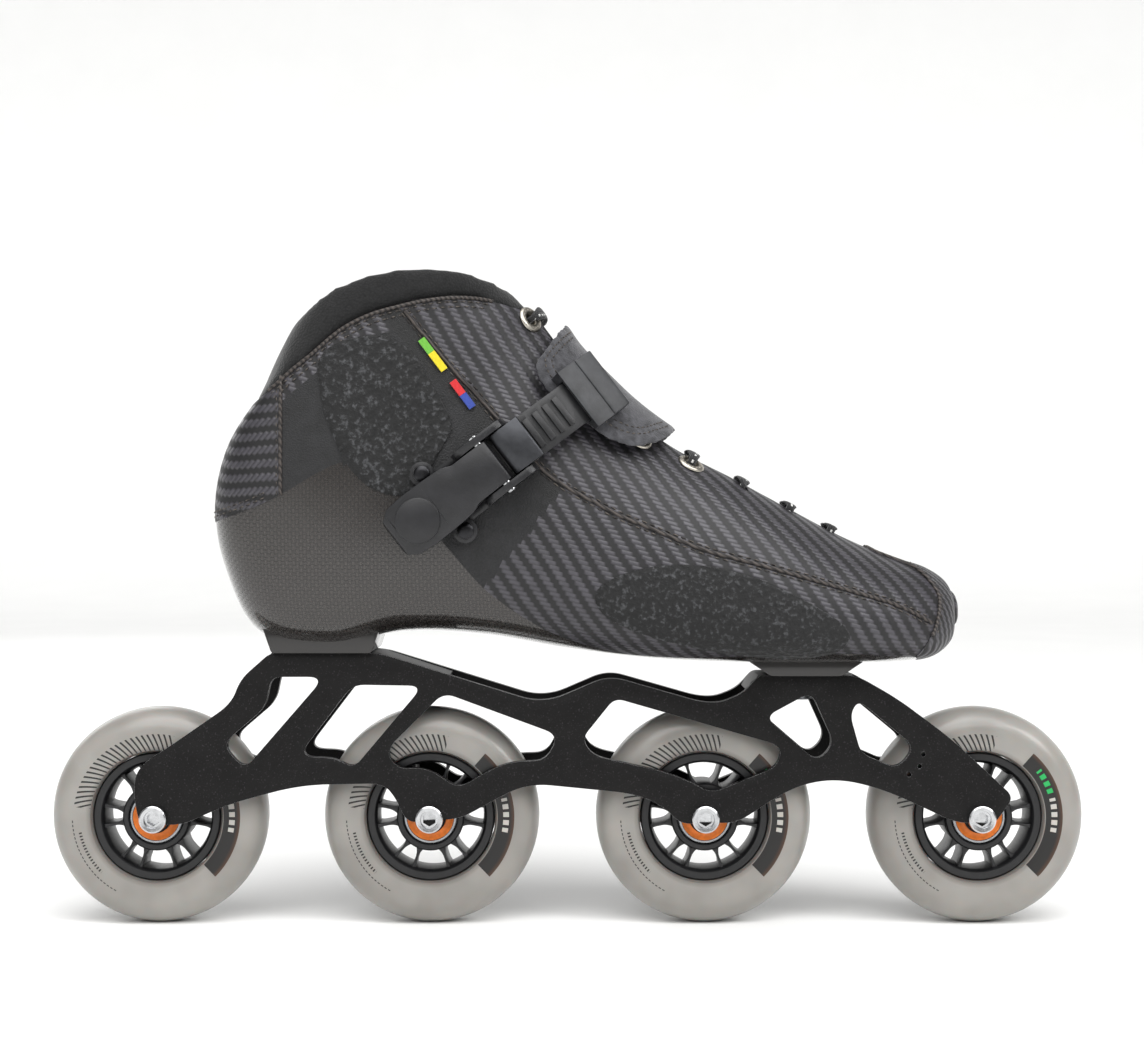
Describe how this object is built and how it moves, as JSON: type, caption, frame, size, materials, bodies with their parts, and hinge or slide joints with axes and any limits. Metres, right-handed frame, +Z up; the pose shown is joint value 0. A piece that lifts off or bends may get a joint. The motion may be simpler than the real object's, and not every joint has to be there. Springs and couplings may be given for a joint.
{
  "type": "inline skate",
  "caption": "Low-cut inline speed skate: moulded boot with laces and a ratchet instep strap on a windowed aluminium chassis with wheels in line",
  "frame": {"origin": "on the ground under the rear axle, in the middle plane of the wheels", "axes": "+X towards the toe along the row of wheels, +Z up, -Y the outer side of the foot, where the buckle is"},
  "size_m": [0.4311, 0.108, 0.27],
  "materials": {
    "anodised_aluminium": "satin black anodised, machined",
    "urethane": "pale translucent cast urethane",
    "nylon": "moulded glass-filled nylon",
    "sealed_race": "ground steel with an orange rubber seal",
    "race_bore": "ground steel",
    "spacer": "turned",
    "axle_steel": "nickel-plated steel",
    "bolt_steel": "zinc-plated steel",
    "carbon": "lacquered fine carbon weave",
    "woven_upper": "coated carbon-look twill",
    "rear_twill": "coated carbon-look twill",
    "padding": "black knit over foam",
    "insole_cloth": "brushed fabric",
    "lace": "flat woven, white flecks",
    "suede": "grey suede, stitched",
    "keeper_plastic": "moulded nylon",
    "strap_plastic": "moulded flexible nylon",
    "buckle_plastic": "moulded nylon",
    "pawl_metal": "cast, satin",
    "webbing": "coated webbing",
    "bright_metal": "nickel-plated brass"
  },
  "bodies": {
    "root": {"chassis": "anodised_aluminium", "carbon_shell": "carbon", "upper": "woven_upper", "rear_panel": "rear_twill", "toe_cap": "woven_upper", "collar_padding": "padding", "tongue": "padding", "insole": "insole_cloth", "lace": "lace", "instep_pad": "suede", "strap_keeper": "keeper_plastic", "buckle_base": "buckle_plastic", "lever_pin": "bright_metal", "buckle_rivet_upper": "bright_metal", "buckle_rivet_lower": "bright_metal", "inner_strap": "webbing", "anchor_screw": "bright_metal", "rear_mount_bolt": "bolt_steel", "front_mount_bolt": "bolt_steel", "eyelet_outer_1": "bright_metal", "eyelet_inner_1": "bright_metal", "eyelet_outer_2": "bright_metal", "eyelet_inner_2": "bright_metal", "eyelet_outer_3": "bright_metal", "eyelet_inner_3": "bright_metal", "bearing_spacer_1": "spacer", "axle_bolt_1": "axle_steel", "bearing_1_outer_bore": "race_bore", "bearing_1_inner_bore": "race_bore", "bearing_spacer_2": "spacer", "axle_bolt_2": "axle_steel", "bearing_2_outer_bore": "race_bore", "bearing_2_inner_bore": "race_bore", "bearing_spacer_3": "spacer", "axle_bolt_3": "axle_steel", "bearing_3_outer_bore": "race_bore", "bearing_3_inner_bore": "race_bore", "bearing_spacer_4": "spacer", "axle_bolt_4": "axle_steel", "bearing_4_outer_bore": "race_bore", "bearing_4_inner_bore": "race_bore"},
    "wheel_1": {"tyre_1": "urethane", "hub_1": "nylon", "bearing_1_outer_race": "sealed_race", "bearing_1_inner_race": "sealed_race"},
    "wheel_2": {"tyre_2": "urethane", "hub_2": "nylon", "bearing_2_outer_race": "sealed_race", "bearing_2_inner_race": "sealed_race"},
    "wheel_3": {"tyre_3": "urethane", "hub_3": "nylon", "bearing_3_outer_race": "sealed_race", "bearing_3_inner_race": "sealed_race"},
    "wheel_4": {"tyre_4": "urethane", "hub_4": "nylon", "bearing_4_outer_race": "sealed_race", "bearing_4_inner_race": "sealed_race"},
    "strap": {"ladder_strap": "strap_plastic"},
    "lever": {"buckle_lever": "buckle_plastic"},
    "pawl": {"buckle_pawl": "pawl_metal"}
  },
  "joints": [
    {"name": "wheel_1_spin", "type": "hinge", "parent": "root", "child": "wheel_1", "pos_m": [0, 0, 0.045], "axis": [0, 1, 0], "continuous": true},
    {"name": "wheel_2_spin", "type": "hinge", "parent": "root", "child": "wheel_2", "pos_m": [0.1137, 0, 0.045], "axis": [0, 1, 0], "continuous": true},
    {"name": "wheel_3_spin", "type": "hinge", "parent": "root", "child": "wheel_3", "pos_m": [0.2274, 0, 0.045], "axis": [0, 1, 0], "continuous": true},
    {"name": "wheel_4_spin", "type": "hinge", "parent": "root", "child": "wheel_4", "pos_m": [0.3411, 0, 0.045], "axis": [0, 1, 0], "continuous": true},
    {"name": "strap_slide", "type": "hinge", "parent": "root", "child": "strap", "pos_m": [0.1409, 0.0544, 0.1902], "axis": [-0.6088, 0, 0.7934], "range_deg": [-3, 3]},
    {"name": "lever_open", "type": "hinge", "parent": "root", "child": "lever", "pos_m": [0.1409, -0.0521, 0.1902], "axis": [-0.6088, 0, 0.7934], "range_deg": [0, 60]},
    {"name": "pawl_release", "type": "hinge", "parent": "root", "child": "pawl", "pos_m": [0.14844, -0.0519, 0.19598], "axis": [-0.6088, 0, 0.7934], "range_deg": [0, 12], "stiffness_Nm_per_rad": 0.02, "springref_deg": -8.59}
  ]
}
